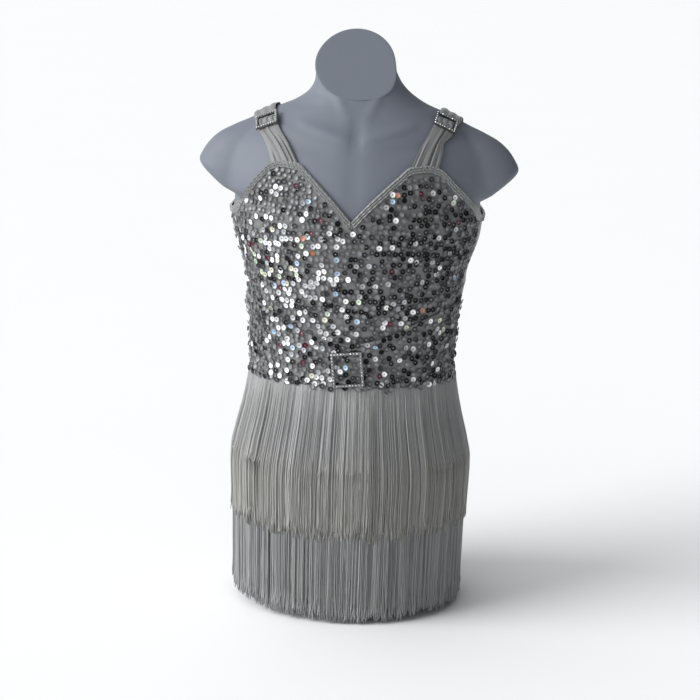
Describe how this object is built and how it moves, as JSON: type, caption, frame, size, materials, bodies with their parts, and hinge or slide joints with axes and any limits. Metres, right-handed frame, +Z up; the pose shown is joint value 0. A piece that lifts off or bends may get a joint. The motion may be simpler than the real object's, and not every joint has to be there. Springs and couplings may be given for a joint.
{
  "type": "fringe biketard on a limbless torso form",
  "caption": "Sleeveless dance biketard: sequined V-neck bodice and sash, gathered straps through stone frames, bike shorts under two fringe tiers, on a torso form without head, arms or legs.",
  "frame": {"origin": "on the floor, in the middle of the form's footprint", "axes": "+Z up, -Y to the front of the wearer, +X to the wearer's left"},
  "size_m": [0.3168, 0.207, 0.5694],
  "materials": {
    "form": "satin blue-grey moulded plastic",
    "sequins": "grey stretch knit covered in loose cup sequins",
    "spandex": "smooth grey stretch knit with a soft sheen",
    "fringe": "silver-grey chainette cords with a dull sheen",
    "stones": "clear faceted stones set edge to edge in bright metal"
  },
  "bodies": {
    "root": {"torso_form": "form", "bodice_front": "sequins", "sash": "sequins", "bodice_back": "spandex", "binding_front": "spandex", "binding_back": "spandex", "strap_left": "spandex", "strap_right": "spandex", "shorts_front_left": "spandex", "shorts_front_right": "spandex", "shorts_back_left": "spandex", "shorts_back_right": "spandex", "fringe_upper": "fringe", "fringe_lower": "fringe", "waist_frame": "stones", "strap_frame_left": "stones", "strap_frame_right": "stones"}
  },
  "joints": []
}
